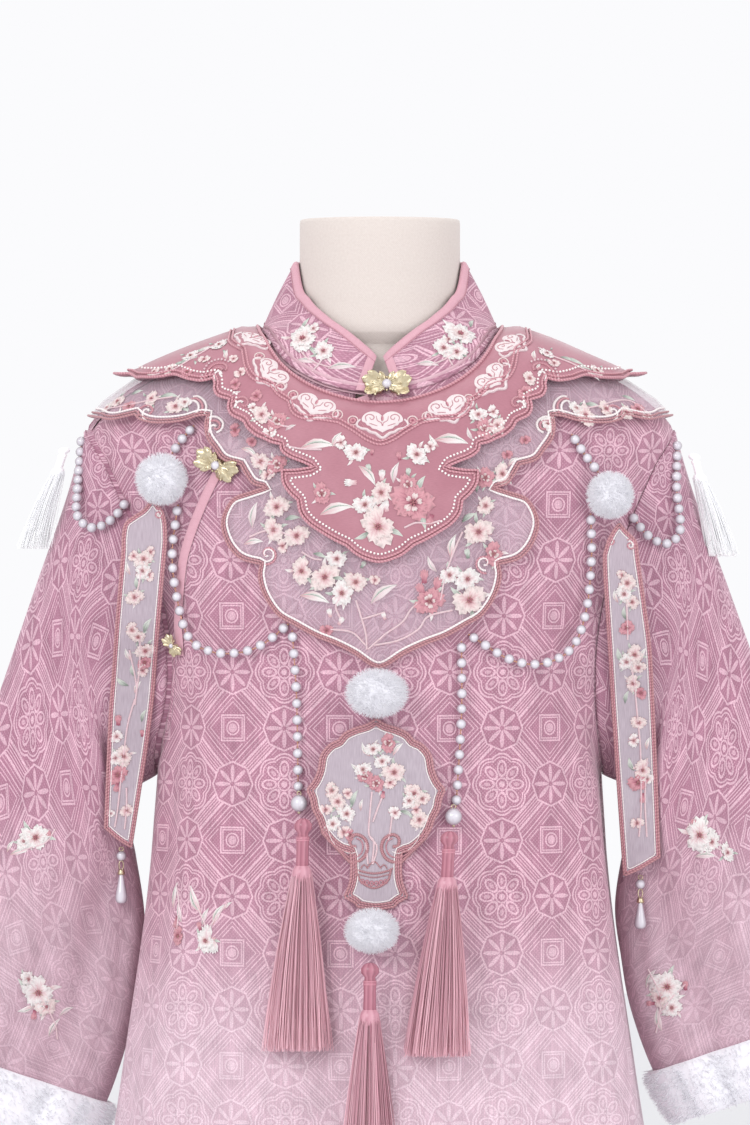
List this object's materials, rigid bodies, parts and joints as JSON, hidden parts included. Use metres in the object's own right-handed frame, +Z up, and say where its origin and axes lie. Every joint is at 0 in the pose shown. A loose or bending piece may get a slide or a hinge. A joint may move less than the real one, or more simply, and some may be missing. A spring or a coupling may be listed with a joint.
{
  "type": "hanfu robe on a dress form",
  "caption": "Wide-sleeved hanfu robe with stand collar, slanted placket, layered cloud collar with pearl strings, tassels and pompoms, hollow on a limbless dress form.",
  "frame": {"origin": "centre of the underside of the dress form's foot, on the floor", "axes": "-Y is the robe's front, +X the viewer's right, +Z up along the form's pole"},
  "size_m": [0.7029, 0.38, 1.45],
  "materials": {
    "binding_pink": "plain satin bias strip",
    "foot_white": "satin white paint",
    "fur_white": "white fur",
    "gold": "polished gold plate",
    "linen": "plain-woven linen cover",
    "organza_lilac": "sheer organza with corded edge",
    "pearl": "pearl lustre",
    "robe_pink": "printed jacquard-like polyester satin",
    "satin_rose": "dull satin with corded edge",
    "silk_pink": "lustrous silk thread",
    "silk_white": "lustrous silk thread"
  },
  "bodies": {
    "root": {"back": "robe_pink", "clasp_collar": "gold", "clasp_placket": "gold", "clasp_side": "gold", "cloud_lower": "organza_lilac", "cloud_upper": "satin_rose", "collar": "robe_pink", "collar_binding": "binding_pink", "cuff_left": "fur_white", "cuff_right": "fur_white", "drop_left": "pearl", "drop_right": "pearl", "form_base": "foot_white", "form_body": "linen", "form_pole": "foot_white", "front_over": "robe_pink", "front_under": "robe_pink", "pearl_big_left": "pearl", "pearl_big_right": "pearl", "pendant": "organza_lilac", "placket_binding": "binding_pink", "pompom_centre": "fur_white", "pompom_left": "fur_white", "pompom_low": "fur_white", "pompom_right": "fur_white", "ribbon_left": "organza_lilac", "ribbon_right": "organza_lilac", "sleeve_left": "robe_pink", "sleeve_right": "robe_pink", "string_left": "pearl", "string_right": "pearl", "swag_left": "pearl", "swag_right": "pearl", "swag_shoulder_left": "pearl", "swag_shoulder_right": "pearl", "swag_upper_left": "pearl", "swag_upper_right": "pearl", "tassel_centre": "silk_pink", "tassel_left": "silk_pink", "tassel_right": "silk_pink", "tassel_shoulder_left": "silk_white", "tassel_shoulder_right": "silk_white"}
  },
  "joints": []
}
